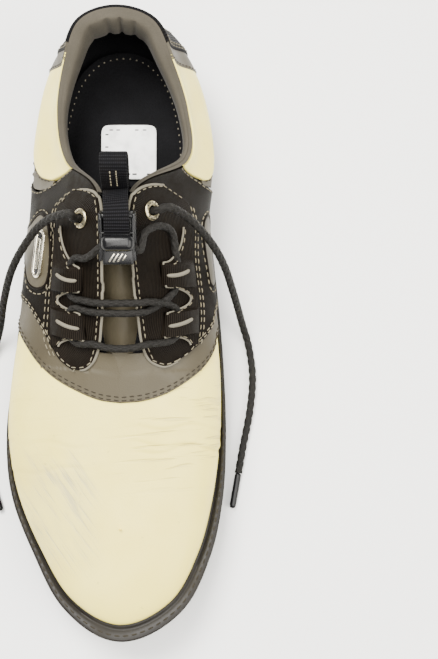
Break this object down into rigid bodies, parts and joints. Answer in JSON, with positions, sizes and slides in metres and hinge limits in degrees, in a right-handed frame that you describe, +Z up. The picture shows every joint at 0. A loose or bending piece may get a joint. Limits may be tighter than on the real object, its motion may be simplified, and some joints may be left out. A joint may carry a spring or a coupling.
{
  "type": "golf shoe",
  "caption": "Laced saddle-style golf shoe for a right foot, with padded collar, lace keeper, pull loop and twist-in soft cleats under the sole.",
  "frame": {"origin": "on the ground under the middle of the shoe, lace ends left out", "axes": "+Y towards the heel, -Y towards the toe, +X towards the inner side of the foot, +Z up"},
  "size_m": [0.1466, 0.3076, 0.1109],
  "materials": {
    "cream_leather": "smooth coated leather, satin, with flex creases and scuffs",
    "taupe_leather": "smooth coated leather, satin",
    "black_leather": "finely ribbed embossed leather, satin",
    "black_webbing": "ribbed woven webbing",
    "lining_textile": "smooth grey lining over foam",
    "black_textile": "dense black knitted top cloth",
    "inner_board": "fibre board",
    "foam": "soft closed-cell foam",
    "stiffener": "thermoplastic sheet",
    "outsole_rubber": "moulded rubber, matt",
    "midsole_rubber": "moulded foam rubber, matt",
    "welt_rubber": "moulded welt, satin",
    "cleat_plastic": "tough moulded plastic",
    "receptacle_plastic": "moulded plastic",
    "chrome_trim": "polished plated metal, lightly worn",
    "steel": "spring steel",
    "buckle_plastic": "moulded plastic, semi-gloss",
    "lace_cord": "round braided polyester",
    "aglet_plastic": "clear-black tube",
    "label_print": null
  },
  "bodies": {
    "shoe": {"outsole": "outsole_rubber", "shank": "steel", "midsole": "midsole_rubber", "welt": "welt_rubber", "insole_board": "inner_board", "footbed": "black_textile", "footbed_label": "label_print", "receptacle_ball_lateral": "receptacle_plastic", "receptacle_ball_medial": "receptacle_plastic", "receptacle_toe_lateral": "receptacle_plastic", "receptacle_toe_medial": "receptacle_plastic", "receptacle_heel_lateral": "receptacle_plastic", "receptacle_heel_medial": "receptacle_plastic", "receptacle_heel_rear": "receptacle_plastic", "vamp": "cream_leather", "apron": "taupe_leather", "saddle_lateral": "black_leather", "rear_quarter_lateral": "cream_leather", "quarter_trim_lateral": "taupe_leather", "heel_band_lateral": "taupe_leather", "facing_lateral": "black_leather", "saddle_medial": "black_leather", "rear_quarter_medial": "cream_leather", "quarter_trim_medial": "taupe_leather", "heel_band_medial": "taupe_leather", "facing_medial": "black_leather", "heel_overlay": "black_leather", "window_insert_lateral": "taupe_leather", "window_insert_medial": "taupe_leather", "side_badge": "chrome_trim", "lace_loop_upper_lateral": "black_leather", "lace_loop_lower_lateral": "black_leather", "lace_loop_upper_medial": "black_leather", "lace_loop_lower_medial": "black_leather", "eyelet_lateral": "chrome_trim", "eyelet_medial": "chrome_trim", "toe_puff": "stiffener", "heel_counter": "stiffener", "collar_foam": "foam", "collar_lining": "lining_textile", "vamp_lining": "lining_textile", "topline_binding": "black_webbing", "lace_keeper": "buckle_plastic", "lace": "lace_cord", "lace_end_lateral": "lace_cord", "aglet_lateral": "aglet_plastic", "lace_end_medial": "lace_cord", "aglet_medial": "aglet_plastic"},
    "tongue": {"tongue": "taupe_leather", "tongue_pad": "foam", "tongue_binding": "black_webbing"},
    "pull_loop": {"pull_loop": "black_webbing"},
    "keeper_roller": {"keeper_roller": "buckle_plastic"},
    "cleat_ball_lateral": {"cleat_ball_lateral": "cleat_plastic"},
    "cleat_ball_medial": {"cleat_ball_medial": "cleat_plastic"},
    "cleat_toe_lateral": {"cleat_toe_lateral": "cleat_plastic"},
    "cleat_toe_medial": {"cleat_toe_medial": "cleat_plastic"},
    "cleat_heel_lateral": {"cleat_heel_lateral": "cleat_plastic"},
    "cleat_heel_medial": {"cleat_heel_medial": "cleat_plastic"},
    "cleat_heel_rear": {"cleat_heel_rear": "cleat_plastic"}
  },
  "joints": [
    {"name": "tongue_flex", "type": "hinge", "parent": "shoe", "child": "tongue", "pos_m": [0.00475, -0.02415, 0.05], "axis": [1, 0, 0], "range_deg": [-9, 0]},
    {"name": "pull_loop_fold", "type": "hinge", "parent": "tongue", "child": "pull_loop", "pos_m": [0.00435, 0.06375, 0.0953], "axis": [1, 0, 0], "range_deg": [-40, 0]},
    {"name": "keeper_roller_spin", "type": "hinge", "parent": "shoe", "child": "keeper_roller", "pos_m": [0.00575, 0.03326, 0.10045], "axis": [1, 0, 0], "continuous": true},
    {"name": "cleat_ball_lateral_twist", "type": "hinge", "parent": "shoe", "child": "cleat_ball_lateral", "pos_m": [-0.02925, -0.04185, 0.003], "axis": [0, 0, -1], "range_deg": [0, 60]},
    {"name": "cleat_ball_medial_twist", "type": "hinge", "parent": "shoe", "child": "cleat_ball_medial", "pos_m": [0.02975, -0.04785, 0.003], "axis": [0, 0, -1], "range_deg": [0, 60]},
    {"name": "cleat_toe_lateral_twist", "type": "hinge", "parent": "shoe", "child": "cleat_toe_lateral", "pos_m": [-0.02125, -0.08585, 0.003], "axis": [0, 0, -1], "range_deg": [0, 60]},
    {"name": "cleat_toe_medial_twist", "type": "hinge", "parent": "shoe", "child": "cleat_toe_medial", "pos_m": [0.02275, -0.09185, 0.003], "axis": [0, 0, -1], "range_deg": [0, 60]},
    {"name": "cleat_heel_lateral_twist", "type": "hinge", "parent": "shoe", "child": "cleat_heel_lateral", "pos_m": [-0.01625, 0.09415, 0.003], "axis": [0, 0, -1], "range_deg": [0, 60]},
    {"name": "cleat_heel_medial_twist", "type": "hinge", "parent": "shoe", "child": "cleat_heel_medial", "pos_m": [0.02175, 0.09415, 0.003], "axis": [0, 0, -1], "range_deg": [0, 60]},
    {"name": "cleat_heel_rear_twist", "type": "hinge", "parent": "shoe", "child": "cleat_heel_rear", "pos_m": [0.00275, 0.12615, 0.003], "axis": [0, 0, -1], "range_deg": [0, 60]}
  ]
}
